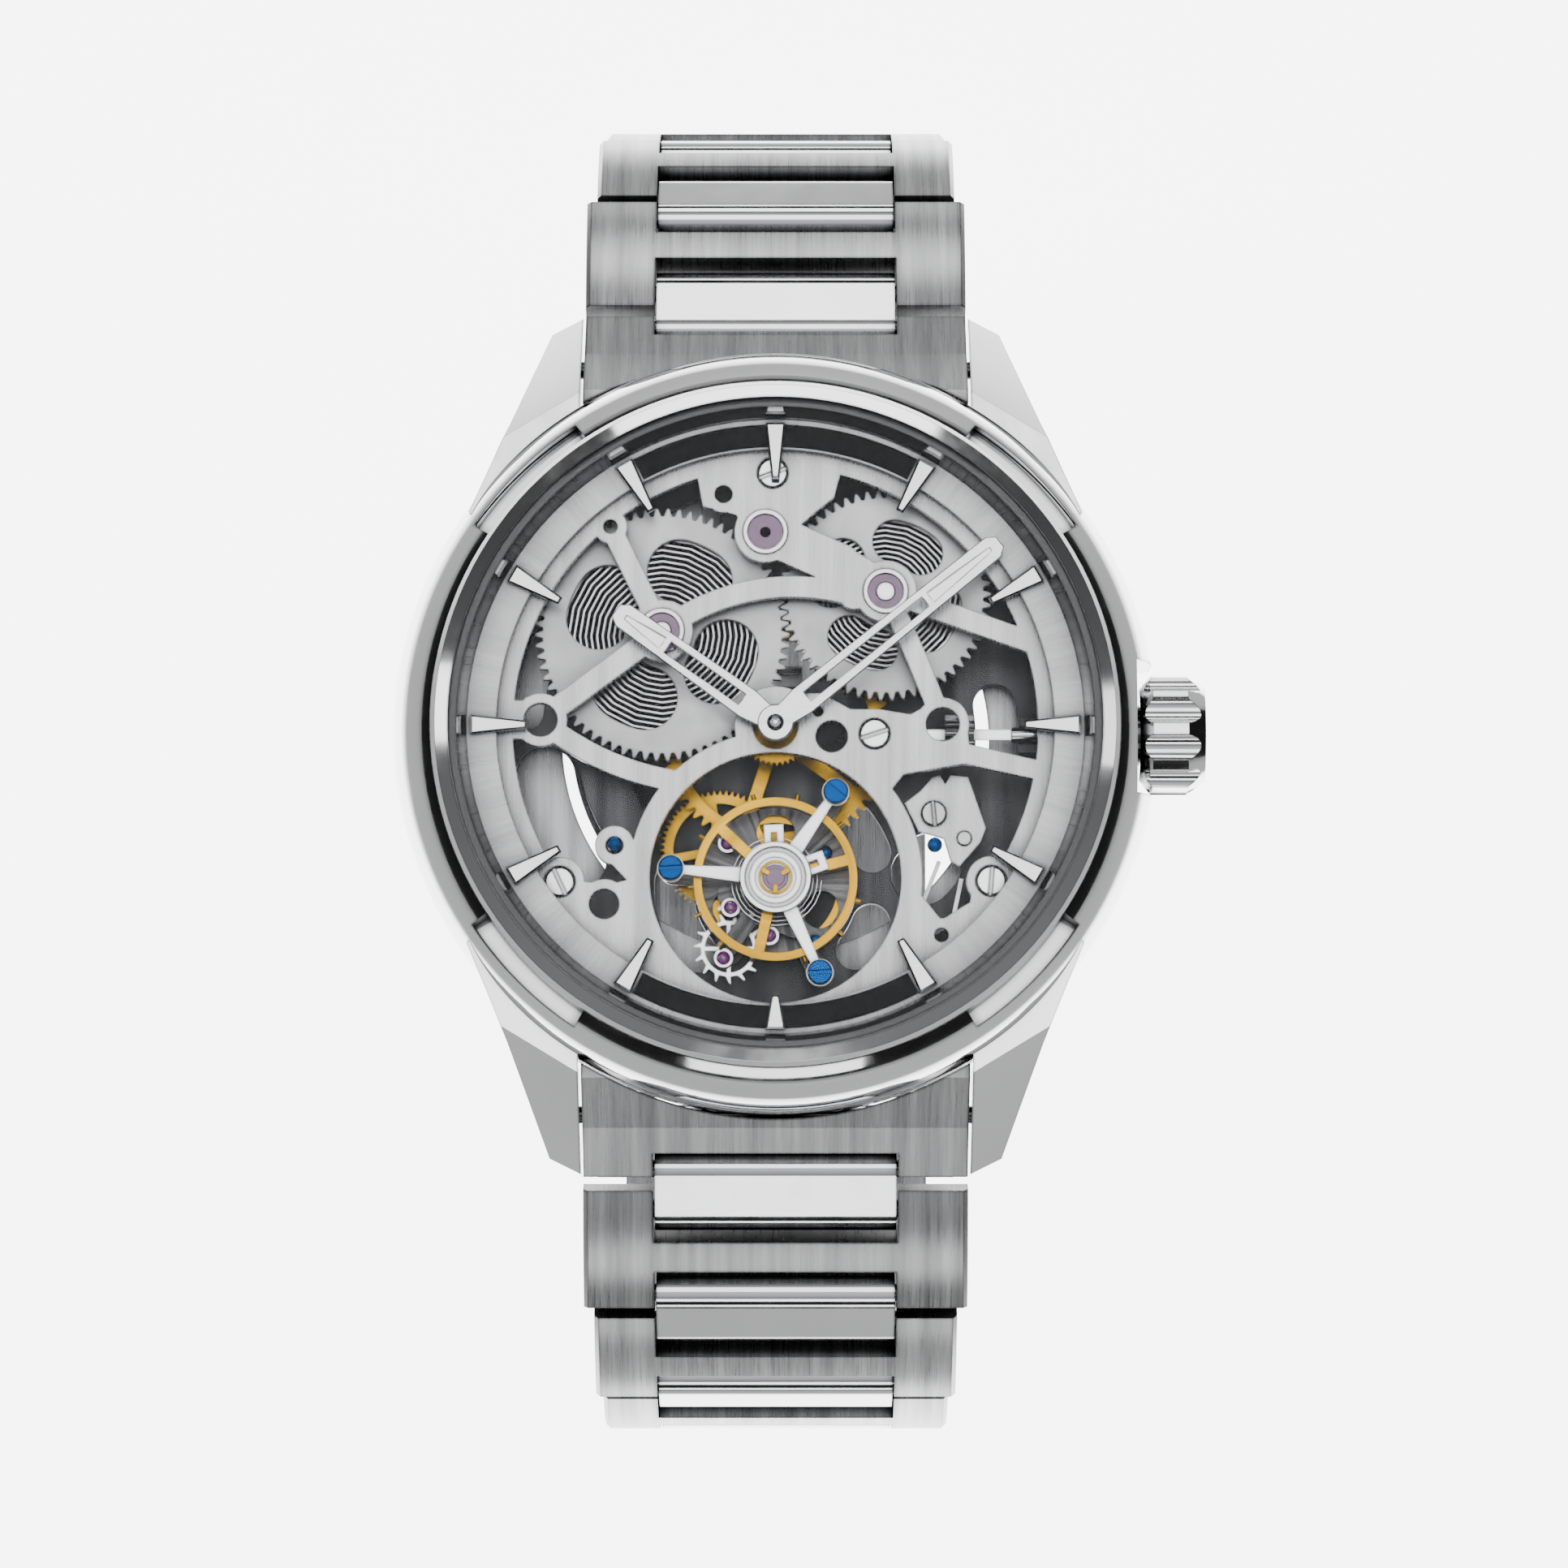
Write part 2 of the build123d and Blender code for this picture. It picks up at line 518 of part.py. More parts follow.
def power():
    left_phase = 0.0
    right_phase = mesh_phase(left_phase, LEFT_TEETH, RIGHT_TEETH, heading(LEFT_BARREL, RIGHT_BARREL))
    inner_left = barrel("barrel_left", LEFT_BARREL, LEFT_TEETH, left_phase, 4)
    inner_right = barrel("barrel_right", RIGHT_BARREL, RIGHT_TEETH, right_phase, 4)
    low, high = BARREL[0] + 0.4, BARREL[1] - 0.1
    coils = [
        Pos(LEFT_BARREL[0], LEFT_BARREL[1], low) * extrude(
            spiral_strip(1.95, inner_left - 0.25, 13, 0.12), high - low),
        Pos(RIGHT_BARREL[0], RIGHT_BARREL[1], low) * extrude(
            spiral_strip(1.95, inner_right - 0.25, 10, 0.12), high - low),
    ]
    NODES["mainsprings"] = Compound(children=coils)
    arbors = []
    for spot in (LEFT_BARREL, RIGHT_BARREL):
        post = disc(spot, 0.5, MAIN_PLATE[0] + 0.05, TOP_BRIDGE[1] - 0.1)
        arbors.append(post + disc(spot, 1.7, low, high))
    NODES["barrel_arbors"] = Compound(children=arbors)


def train():
    to_left = heading(LEFT_BARREL, CENTRE)
    pinion_phase = mesh_phase(0.0, LEFT_TEETH, CENTRE_PINION_TEETH, to_left)
    wheel = gear_face(CENTRE_TEETH, CENTRE_MODULE) - spoked(5.5, 1.3, 5, 0.75, 36)
    body = gear(CENTRE, wheel, *CENTRE_WHEEL)
    body += gear(CENTRE, gear_face(CENTRE_PINION_TEETH, BARREL_MODULE, pinion_phase), 5.9, 6.95)
    body += disc(CENTRE, 0.28, MAIN_PLATE[0] + 0.05, 10.5) + disc(CENTRE, 0.7, CENTRE_WHEEL[1], 5.9)
    NODES["centre_wheel"] = body

    to_third = heading(CENTRE, THIRD)
    third_pinion_phase = mesh_phase(0.0, CENTRE_TEETH, PINION_TEETH, to_third)
    wheel = gear_face(THIRD_TEETH, THIRD_MODULE) - spoked(2.65, 0.9, 4, 0.5, 10)
    body = gear(THIRD, wheel, *THIRD_WHEEL)
    body += gear(THIRD, gear_face(PINION_TEETH, CENTRE_MODULE, third_pinion_phase, 0.06), 3.45, 3.85)
    body += disc(THIRD, 0.22, MAIN_PLATE[0] + 0.05, 3.86)
    NODES["third_wheel"] = body

    cannon = gear_face(CANNON_TEETH, 2 * MOTION_DISTANCE / (CANNON_TEETH + MINUTE_TEETH), 0, 0.05, 0.3)
    NODES["cannon_pinion"] = gear(CENTRE, cannon, *MOTION_LOW) + ring(CENTRE, 0.4, 0.3, 7.25, 10.66)
    to_minute = heading(CENTRE, MINUTE_ARBOR)
    phase = mesh_phase(0.0, CANNON_TEETH, MINUTE_TEETH, to_minute)
    wheel = gear_face(MINUTE_TEETH, 2 * MOTION_DISTANCE / (CANNON_TEETH + MINUTE_TEETH), phase, 0.03)
    hour_module = 2 * MOTION_DISTANCE / (HOUR_TEETH + MINUTE_PINION_TEETH)
    body = gear(MINUTE_ARBOR, wheel, *MOTION_LOW)
    body += gear(MINUTE_ARBOR, gear_face(MINUTE_PINION_TEETH, hour_module, 0, 0.035), 7.1, MOTION_HIGH[1])
    body += disc(MINUTE_ARBOR, 0.25, 6.9, TOP_BRIDGE[0] + 0.5)
    NODES["minute_wheel"] = body
    phase = mesh_phase(0.0, MINUTE_PINION_TEETH, HOUR_TEETH, heading(MINUTE_ARBOR, CENTRE))
    wheel = gear_face(HOUR_TEETH, hour_module, phase, 0.05, 0.46)
    NODES["hour_wheel"] = gear(CENTRE, wheel, *MOTION_HIGH) + ring(CENTRE, 0.8, 0.46, 7.6, 10.14)


# ---------------------------------------------------------------- tourbillon
def tourbillon():
    fixed = gear_face(FIXED_TEETH, FIXED_MODULE) - spoked(3.5, 1.2, 4, 0.6, 20)
    for a in FIXED_POSTS:
        fixed += Pos(*polar(2.2, a)) * Circle(0.55) + strut(polar(1.1, a), polar(3.6, a), 0.5)
    fixed -= Circle(0.8)
    NODES["fixed_wheel"] = gear(CAGE, fixed, *FIXED_WHEEL)

    low, high = CAGE_FLOOR
    sheet = Circle(4.3) - Circle(0.35)
    for k in range(3):
        sheet -= window(2.0, 3.9, CAGE_ANGLES[k] + 14, CAGE_ANGLES[k] + 56)
        sheet += strut(polar(3.5, CAGE_ANGLES[k]), polar(CAGE_ARM, CAGE_ANGLES[k]), 1.1)
    sheet += Pos(*polar(ESCAPE_ARM, ESCAPE_ANGLE)) * Circle(0.8)
    sheet -= Pos(*polar(ESCAPE_ARM, ESCAPE_ANGLE)) * Circle(0.52)
    body = gear(CAGE, sheet, low, high)
    for a in CAGE_ANGLES:
        body += disc(polar(CAGE_ARM, a, CAGE), 0.4, high, CAGE_ROOF[0])
    phase = mesh_phase(0.0, THIRD_TEETH, PINION_TEETH, heading(THIRD, CAGE))
    body += gear(CAGE, gear_face(PINION_TEETH, THIRD_MODULE, phase, 0.04), 3.15, 3.6)
    body += disc(CAGE, 0.3, 3.6, low + 0.1) + disc(CAGE, 0.35, low, high) + disc(CAGE, 0.25, 2.05, 3.15)
    # the bridge that carries the pallet fork and the escape wheel's upper pivot
    cock = strut(polar(2.3, ESCAPE_ANGLE), polar(ESCAPE_ARM, ESCAPE_ANGLE), 1.0)
    cock += strut(polar(2.3, ESCAPE_ANGLE), polar(2.9, 290), 0.9) + Pos(*polar(2.9, 290)) * Circle(0.5)
    cock += strut(polar(2.3, ESCAPE_ANGLE), polar(2.9, 195), 0.9) + Pos(*polar(2.9, 195)) * Circle(0.5)
    cock -= Pos(*polar(2.3, ESCAPE_ANGLE)) * Circle(0.2)
    cock -= Pos(*polar(ESCAPE_ARM, ESCAPE_ANGLE)) * Circle(0.2)
    body += gear(CAGE, cock, 5.85, 6.15)
    for a in (290, 195):
        body += disc(polar(2.9, a, CAGE), 0.35, high, 5.9)
    NODES["cage_floor"] = body

    low, high = CAGE_ROOF
    sheet = Circle(2.0)
    for a in CAGE_ANGLES:
        end = CAGE_ARM - 0.4
        sheet += Rot(0, 0, a) * polygon([(1.6, -0.45), (end, -0.24), (end, 0.24), (1.6, 0.45)])
        sheet += Pos(*polar(CAGE_ARM, a)) * Circle(0.78)
    for a in (92, 20):
        tab = Rectangle(1.1, 1.25, align=(Align.CENTER, Align.MIN)) - Pos(0, 0.55) * Rectangle(0.35, 0.5)
        sheet += Rot(0, 0, a - 90) * Pos(0, 1.75) * tab
    sheet -= Circle(0.72)
    roof = gear(CAGE, sheet, low, high)
    roof += ring(CAGE, 1.98, 1.72, high, high + 0.25)
    NODES["cage_roof"] = roof
    NODES["cage_screws"] = Compound(children=[
        slotted_screw(polar(CAGE_ARM, a, CAGE), 0.7, high, 0.5, 0, 0, turn)
        for a, turn in zip(CAGE_ANGLES, (-40, 2, 3))
    ])
    stone = ring(CAGE, 0.7, 0.24, low + 0.02, high + 0.05) + disc(CAGE, 0.5, high + 0.05, high + 0.2)
    NODES["cage_jewel"] = stone

    low, high = BALANCE
    wheel = Circle(4.62) - Circle(4.15) + Circle(0.8)
    for a in (15, 137, 257):
        wheel += strut(CENTRE, polar(4.3, a), 0.62)
    wheel -= Circle(0.28)
    body = gear(CAGE, wheel, low, high)
    screw_spots = (40, 75, 105, 150, 185, 205, 230, 290, 320, 345)
    timing_screw = Pos(4.7, 0, 0) * Rot(0, 90, 0) * Cylinder(0.13, 0.5)
    for a in screw_spots:
        body += Pos(CAGE[0], CAGE_Y, (low + high) / 2) * Rot(0, 0, a) * timing_screw
    NODES["balance_wheel"] = body
    staff = disc(CAGE, 0.27, 5.2, 7.9) + disc(CAGE, 0.2, 4.85, 8.3) + disc(CAGE, 0.62, 5.1, 5.3)
    staff += disc(polar(0.45, ESCAPE_ANGLE, CAGE), 0.08, 5.3, 5.62)
    NODES["balance_staff"] = staff
    coil = spiral_strip(0.45, 2.6, 9, 0.06, per_turn=24)
    NODES["hairspring"] = gear(CAGE, coil, 6.35, 6.6)

    wheel = escape_face(15, 2.0)
    body = gear(ESCAPE_PIVOT, wheel, *ESCAPE) + disc(ESCAPE_PIVOT, 0.16, 3.85, 6.1)
    direction = ESCAPE_ANGLE
    phase = mesh_phase(0.0, FIXED_TEETH, PINION_TEETH, direction)
    body += gear(ESCAPE_PIVOT, gear_face(PINION_TEETH, FIXED_MODULE, phase, 0.04), 3.85, 4.3)
    NODES["escape_wheel"] = body

    fork = Circle(0.42) + strut(CENTRE, (-1.25, 0), 0.34) + Pos(-1.45, 0) * Rectangle(0.5, 0.5)
    fork -= Pos(-1.68, 0) * Rectangle(0.5, 0.22)
    for side in (-1, 1):
        elbow = (0.35, side * 1.5)
        fork += strut(CENTRE, elbow, 0.34) + strut(elbow, (0.75, side * 1.72), 0.26)
    body = Rot(0, 0, ESCAPE_ANGLE) * extrude(fork, ESCAPE[1] - ESCAPE[0])
    body = Pos(PALLET_PIVOT[0], PALLET_PIVOT[1], ESCAPE[0]) * body
    NODES["pallet_fork"] = body + disc(PALLET_PIVOT, 0.15, 4.8, 6.1)


def escape_face(teeth, radius):
    """A club-tooth escape wheel with four spokes."""
    points = []
    for k in range(teeth):
        a = 360 * k / teeth
        points += [polar(radius * 0.8, a), polar(radius, a + 7)]
        points += [polar(radius, a + 10), polar(radius * 0.8, a + 10)]
    face = polygon(points)
    return face - spoked(1.35, 0.45, 4, 0.26)


# ---------------------------------------------------------------- bracelet
def bar_profile(start, end, top, crown, under, chamfer_in):
    """Side outline of a link: arched outside, chamfered inside."""
    middle = (start + end) / 2
    arch = ThreePointArc((start, top), (middle, top + crown), (end, top))
    rest = Polyline((end, top), (end, -0.1), (end - chamfer_in, -under), (start + chamfer_in, -under),
                    (start, -0.1), (start, top))
    return make_face(arch + rest)


def across(profile, width):
    """A side outline in the link's Y-Z plane, made width wide and centred on X."""
    return Pos(-width / 2, 0, 0) * extrude(Plane.YZ * profile, width)


def x_pin(y, radius, length):
    return Pos(0, y, 0) * Rot(0, 90, 0) * Cylinder(radius, length)


def stadium(start, end, radius):
    return Plane.YZ * (Pos((start + end) / 2, 0) * SlotCenterToCenter(end - start, radius * 2))


def link_width(number):
    return LINK_WIDTH_LAST + (LINK_WIDTH_1 - LINK_WIDTH_LAST) * LINK_NARROWING ** (number - 1)


def link(number):
    """An H-shaped link with its polished middle bar and pins. The hinge to the link before is the X axis."""
    width = link_width(number)
    middle = MIDDLE_WIDTH - 0.12 * (number - 1)
    next_middle = middle - 0.12
    frame = across(bar_profile(0.95, 8.05, 1.15, 0.4, LINK_HALF_THICK, 0.65), width)
    frame -= Pos(0, 1.2, 0) * Box(middle + 0.2, 5.5, 6)
    frame -= Pos(0, 8.25, 0) * Box(next_middle + 0.2, 5.0, 6)
    sides = [e for e in frame.edges().filter_by(Axis.Y, 40) if abs(abs(e.center().X) - width / 2) < 0.01]
    tops = [e for e in sides if e.center().Z > 1.0]
    frame = chamfer(tops, 0.25) if tops else frame
    frame -= x_pin(2.4, PIN_R + 0.02, width - 1.6)
    frame -= x_pin(LINK_PITCH, PIN_R + RUNNING, width - 1.6)
    bar = Pos(-middle / 2, 0, 0) * extrude(stadium(0, 2.4, 1.25), middle)
    bar -= x_pin(0, PIN_R + 0.02, middle + 2)
    bar -= x_pin(2.4, PIN_R + 0.02, middle + 2)
    pins = [x_pin(0, PIN_R, width - 1.7), x_pin(2.4, PIN_R, width - 1.9)]
    return [frame, bar] + pins


def hinge_points():
    """Each upper hinge as (Y, Z), the clasp's last."""
    spots = [HINGE_1]
    for angle in LINK_ANGLES:
        y, z = spots[-1]
        a = math.radians(angle)
        spots.append((y + LINK_PITCH * math.cos(a), z - LINK_PITCH * math.sin(a)))
    return spots


def end_link():
    """The fixed link between the lugs, with its middle cut for the first bar."""
    side = make_face(Polyline(
        (16, 7.6), (19.6, 6.0), (22.2, 2.6), (24.85, -0.05), (24.3, -1.4), (23.6, -2.7), (20.4, -0.6),
        (16, 0.2), close=True,
    ))
    body = across(side, LUG_GAP - 0.3)
    body -= disc(CENTRE, CASE_R + 0.12, -5, 12)
    body -= Pos(0, HINGE_1[0] + 1.2, HINGE_1[1]) * Rot(-22, 0, 0) * Box(MIDDLE_WIDTH + 0.2, 5.5, 12)
    body -= Pos(0, *HINGE_1) * Rot(0, 90, 0) * Cylinder(PIN_R + RUNNING, LUG_GAP - 1.8)
    body -= Pos(0, 21.4, 1.6) * Rot(0, 90, 0) * Cylinder(0.6, LUG_GAP + 2)
    # room for the first link's shoulders as it swings
    body -= Pos(0, *HINGE_1) * Rot(-22, 0, 0) * Pos(0, 3.55, 0) * Box(LUG_GAP + 2, 6.0, 8)
    return body


def bracelet():
    spots = hinge_points()
    about = Rot(0, 0, 180)
    fixed = end_link()
    NODES["end_link_upper"] = fixed
    NODES["end_link_lower"] = about * fixed
    bar = Rot(0, 90, 0) * (Cylinder(0.5, LUG_GAP + 1.6) + Cylinder(0.55, LUG_GAP - 0.8))
    NODES["spring_bars"] = Compound(children=[Pos(0, y, 1.6) * bar for y in (-21.4, 21.4)])
    for k in range(LINK_COUNT):
        pieces = link(k + 1)
        y, z = spots[k]
        where = Pos(0, y, z) * Rot(-LINK_ANGLES[k], 0, 0)
        upper = [where * piece for piece in pieces]
        NODES[f"upper_link_{k + 1}"] = Compound(children=upper)
        NODES[f"lower_link_{k + 1}"] = Compound(children=[about * piece for piece in upper])
    return spots[-1]


CLASP_END = 37.2         # from the clasp's own hinge to its far end
CLASP_WIDTH = 18.6
SHELL_PIVOT = 35.6
BLADE_PIVOT = 5.6


def clasp(hinge):
    """A folding clasp: an outer shell and two blades that fold inside it."""
    where = Pos(0, *hinge) * Rot(-180, 0, 0)
    wall = (CLASP_WIDTH - 16.4) / 2
    shell = Pos(0, (1.6 + CLASP_END) / 2, 1.3) * Box(CLASP_WIDTH, CLASP_END - 1.6, 0.9)
    shell = fillet(shell.edges().filter_by(Axis.Z), 1.2)
    for side in (-1, 1):
        shell += Pos(side * (CLASP_WIDTH - wall) / 2, (3.0 + CLASP_END) / 2, 0) * Box(
            wall, CLASP_END - 3.6, 2.6)
    tongue = Pos(-6.3, 0, 0) * extrude(stadium(0, 3.0, 1.2), 12.6)
    shell += tongue - x_pin(0, PIN_R + 0.02, 20)
    shell -= x_pin(SHELL_PIVOT, 0.45, CLASP_WIDTH - 0.6)
    pin = x_pin(0, PIN_R, link_width(LINK_COUNT) - 1.7)
    NODES["clasp_shell"] = Compound(children=[where * shell, where * pin])

    outer = Pos(0, (BLADE_PIVOT + SHELL_PIVOT) / 2, 0.2) * Box(14.6, SHELL_PIVOT - BLADE_PIVOT, 0.7)
    outer -= Pos(0, (BLADE_PIVOT + SHELL_PIVOT) / 2, 0.2) * Box(6.0, 20, 2)
    outer += x_pin(SHELL_PIVOT, 0.8, 14.6) + x_pin(SHELL_PIVOT, 0.4, 17.4)
    outer -= Pos(0, BLADE_PIVOT, -0.3) * Box(8.4, 2.4, 4)
    ears = x_pin(BLADE_PIVOT, 0.8, 14.6) - x_pin(BLADE_PIVOT, 0.8, 8.4)
    outer += Pos(0, 0, -0.3) * (ears - x_pin(BLADE_PIVOT, 0.45, 20))
    outer -= Pos(0, 0, -0.3) * x_pin(BLADE_PIVOT, 0.45, 20)
    NODES["clasp_blade_outer"] = where * outer

    tail = SHELL_PIVOT - 0.4
    inner = Pos(0, (BLADE_PIVOT + tail) / 2, -1.15) * Box(8.0, tail - BLADE_PIVOT, 0.6)
    inner += Pos(0, 0, -0.3) * (x_pin(BLADE_PIVOT, 0.75, 8.0) + x_pin(BLADE_PIVOT, 0.4, 14.4))
    inner -= Pos(0, (BLADE_PIVOT + tail) / 2, -1.15) * Box(3.2, 20, 2)
    NODES["clasp_blade_inner"] = where * inner


def main():
    os.makedirs("parts", exist_ok=True)
    case_middle()
    bezel()
    crystals()
    case_back()
    crown_parts()
    sliding_pinion()
    dial()
    hands()
    top_bridge()
    main_plate()
    small_fittings()
    keyless_works()
    power()
    train()
    tourbillon()
    clasp(bracelet())
    for name, shape in NODES.items():
        export_step(shape, f"parts/{name}.step")


main()
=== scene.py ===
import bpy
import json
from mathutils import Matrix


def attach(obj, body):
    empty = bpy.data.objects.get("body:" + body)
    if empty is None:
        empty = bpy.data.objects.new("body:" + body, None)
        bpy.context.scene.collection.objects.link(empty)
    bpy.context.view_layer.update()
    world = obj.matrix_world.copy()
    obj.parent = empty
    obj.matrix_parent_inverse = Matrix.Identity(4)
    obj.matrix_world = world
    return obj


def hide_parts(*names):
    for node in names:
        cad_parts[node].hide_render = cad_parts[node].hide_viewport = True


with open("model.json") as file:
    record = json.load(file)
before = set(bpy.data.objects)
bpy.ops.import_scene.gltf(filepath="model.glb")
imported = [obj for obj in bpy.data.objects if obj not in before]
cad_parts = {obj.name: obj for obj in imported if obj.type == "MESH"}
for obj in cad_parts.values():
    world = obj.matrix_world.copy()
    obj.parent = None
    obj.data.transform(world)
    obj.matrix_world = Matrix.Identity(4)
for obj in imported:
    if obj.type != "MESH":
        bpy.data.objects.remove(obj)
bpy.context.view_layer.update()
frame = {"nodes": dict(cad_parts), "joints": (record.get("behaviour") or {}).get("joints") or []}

import json
import math

import bpy
from mathutils import Vector

MM = 0.001
NODES = frame["nodes"]

# ------------------------------------------------------------------ sizes
DIAL_CENTRE = Vector((0, 0, 9 * MM))
CAGE_CENTRE = Vector((0, -8.5 * MM, 0))
FLOOR_Z = -41.2 * MM
CAMERA_TARGET = Vector((0.48, -3.3, 9.0)) * MM
CAMERA_DISTANCE = 400 * MM
CAMERA_TILT = 6.2        # degrees from straight above, towards 6 o'clock
CAMERA_LENS = 163.8


# ------------------------------------------------------------------ material helpers
class Shader:
    """A node tree with short helpers for wiring it."""

    def __init__(self, name):
        self.material = bpy.data.materials.new(name)
        self.material.use_nodes = True
        self.tree = self.material.node_tree
        self.bsdf = self.tree.nodes["Principled BSDF"]

    def node(self, kind, **values):
        node = self.tree.nodes.new(kind)
        for key, value in values.items():
            if key in node.inputs:
                node.inputs[key].default_value = value
            else:
                setattr(node, key, value)
        return node

    def link(self, source, target):
        self.tree.links.new(source, target)

    def place(self, origin=(0, 0, 0)):
        """The point's place in the row frame, counted from origin."""
        coordinates = self.node("ShaderNodeTexCoord")
        shift = self.node("ShaderNodeVectorMath", operation="SUBTRACT")
        shift.inputs[1].default_value = origin
        self.link(coordinates.outputs["Object"], shift.inputs[0])
        return shift.outputs["Vector"]

    def noise(self, vector, scale, detail=3.0, rough=0.6):
        """Noise with a scale of its own along each axis, in waves per metre."""
        stretch = self.node("ShaderNodeVectorMath", operation="MULTIPLY")
        stretch.inputs[1].default_value = scale
        self.link(vector, stretch.inputs[0])
        noise = self.node("ShaderNodeTexNoise", Scale=1.0, Detail=detail, Roughness=rough)
        self.link(stretch.outputs["Vector"], noise.inputs["Vector"])
        return noise.outputs["Fac"]

    def ramp(self, value, low, high, start=0.3, end=0.7):
        """Value from start to end, remapped to low to high."""
        remap = self.node("ShaderNodeMapRange")
        for socket, number in zip(range(1, 5), (start, end, low, high)):
            remap.inputs[socket].default_value = number
        self.link(value, remap.inputs[0])
        return remap.outputs[0]

    def tint(self, value, dark, light):
        """A colour between dark and light."""
        mix = self.node("ShaderNodeMix", data_type="RGBA")
        mix.inputs["A"].default_value = (*dark, 1)
        mix.inputs["B"].default_value = (*light, 1)
        self.link(value, mix.inputs["Factor"])
        return mix.outputs["Result"]

    def polar(self, vector):
        """Radius and angle about Z, packed as (radius, angle, z)."""
        split = self.node("ShaderNodeSeparateXYZ")
        self.link(vector, split.inputs[0])
        angle = self.node("ShaderNodeMath", operation="ARCTAN2")
        self.link(split.outputs["Y"], angle.inputs[0])
        self.link(split.outputs["X"], angle.inputs[1])
        flat = self.node("ShaderNodeVectorMath", operation="MULTIPLY")
        flat.inputs[1].default_value = (1, 1, 0)
        self.link(vector, flat.inputs[0])
        length = self.node("ShaderNodeVectorMath", operation="LENGTH")
        self.link(flat.outputs["Vector"], length.inputs[0])
        join = self.node("ShaderNodeCombineXYZ")
        self.link(length.outputs["Value"], join.inputs["X"])
        self.link(angle.outputs[0], join.inputs["Y"])
        self.link(split.outputs["Z"], join.inputs["Z"])
        return join.outputs[0]

    def times(self, colour, value):
        """A colour dimmed by value."""
        dim = self.node("ShaderNodeVectorMath", operation="SCALE")
        self.link(colour, dim.inputs[0])
        self.link(value, dim.inputs["Scale"])
        return dim.outputs["Vector"]

    def painted_crevice_shade(self, painted_shade_reach, floor):
        """Painted shade in crevices: a factor from floor, where ambient occlusion finds parts closer than reach, up
        to 1 on open metal.
        """
        near = self.node("ShaderNodeAmbientOcclusion", Distance=painted_shade_reach, samples=6)
        return self.ramp(near.outputs["AO"], floor, 1.0, 0.35, 0.92)

    def painted_edge_shade(self, radius, floor):
        """Painted shade along sharp edges, standing in for the dark reflection of chamfers: a factor of floor there,
        out to the radius given, and 1 elsewhere.
        """
        rounded = self.node("ShaderNodeBevel", Radius=radius, samples=4)
        flat = self.node("ShaderNodeNewGeometry")
        turn = self.node("ShaderNodeVectorMath", operation="DOT_PRODUCT")
        self.link(rounded.outputs["Normal"], turn.inputs[0])
        self.link(flat.outputs["Normal"], turn.inputs[1])
        return self.ramp(turn.outputs["Value"], floor, 1.0, 0.80, 0.97)

    def relief(self, height, distance, edge=0.0):
        """Bump from height, over edges rounded to the radius given."""
        bump = self.node("ShaderNodeBump", Strength=1.0, Distance=distance)
        self.link(height, bump.inputs["Height"])
        if edge:
            rounded = self.node("ShaderNodeBevel", Radius=edge, samples=4)
            self.link(rounded.outputs["Normal"], bump.inputs["Normal"])
        self.link(bump.outputs["Normal"], self.bsdf.inputs["Normal"])


GRAIN_FINE = 9000        # scratches per metre across the brushing
GRAIN_LONG = 260         # and along it


def metal(name, dark, light, rough, grain=None, depth=0.6e-6, origin=(0, 0, 0), edge=0.05 * MM, spread=0.1,
          painted_edge_shade=0.0, painted_shade_reach=0.0, painted_shade_floor=0.12):
    """A bare metal. grain is x, y, ring or radial for brushed work, or None for a polish with faint marks.
    The edge-shade width paints dark shade along its edges to that radius, standing in for the dark reflection of
    chamfers. The crevice-shade reach paints shade into crevices and between parts to that depth, down to the darkest
    factor given."""
    s = Shader(name)
    s.bsdf.inputs["Metallic"].default_value = 1.0
    at = s.place(origin)
    if grain in ("ring", "radial"):
        at = s.polar(at)
    scales = {
        "x": (GRAIN_LONG, GRAIN_FINE, GRAIN_FINE),
        "y": (GRAIN_FINE, GRAIN_LONG, GRAIN_LONG),
        "ring": (GRAIN_FINE, 3.0, GRAIN_FINE),
        "radial": (GRAIN_LONG, 90.0, GRAIN_LONG),
        None: (500, 500, 500),
    }
    lines = s.noise(at, scales[grain], 4.0 if grain else 2.0)
    clouds = s.noise(at, tuple(c * 0.12 for c in scales[grain]), 2.0)
    s.link(s.ramp(lines, rough - spread / 2, rough + spread / 2), s.bsdf.inputs["Roughness"])
    colour = s.tint(s.ramp(clouds, 0, 1), dark, light)
    if grain:
        colour = s.times(colour, s.ramp(lines, 0.8, 1.15))
    # painted shade: the colour is darkened along the edges, in place of the dark reflection in chamfers
    if painted_edge_shade:
        colour = s.times(colour, s.painted_edge_shade(painted_edge_shade, 0.15))
    # painted shade: the colour is darkened in crevices and between parts
    if painted_shade_reach:
        colour = s.times(colour, s.painted_crevice_shade(painted_shade_reach, painted_shade_floor))
    s.link(colour, s.bsdf.inputs["Base Color"])
    s.relief(lines, depth if grain else depth * 0.4, edge)
    return s.material


def glass(name):
    """Thin clear sapphire with an anti-reflection coat: it is nearly unseen."""
    s = Shader(name)
    tree = s.tree
    clear = s.node("ShaderNodeBsdfTransparent")
    gloss = s.node("ShaderNodeBsdfGlossy", Roughness=0.02)
    gloss.inputs["Color"].default_value = (0.92, 0.95, 1.0, 1)
    fresnel = s.node("ShaderNodeFresnel", IOR=1.16)
    mix = s.node("ShaderNodeMixShader")
    s.link(fresnel.outputs[0], mix.inputs[0])
    s.link(clear.outputs[0], mix.inputs[1])
    s.link(gloss.outputs[0], mix.inputs[2])
    s.link(mix.outputs[0], tree.nodes["Material Output"].inputs["Surface"])
    tree.nodes.remove(s.bsdf)
    return s.material


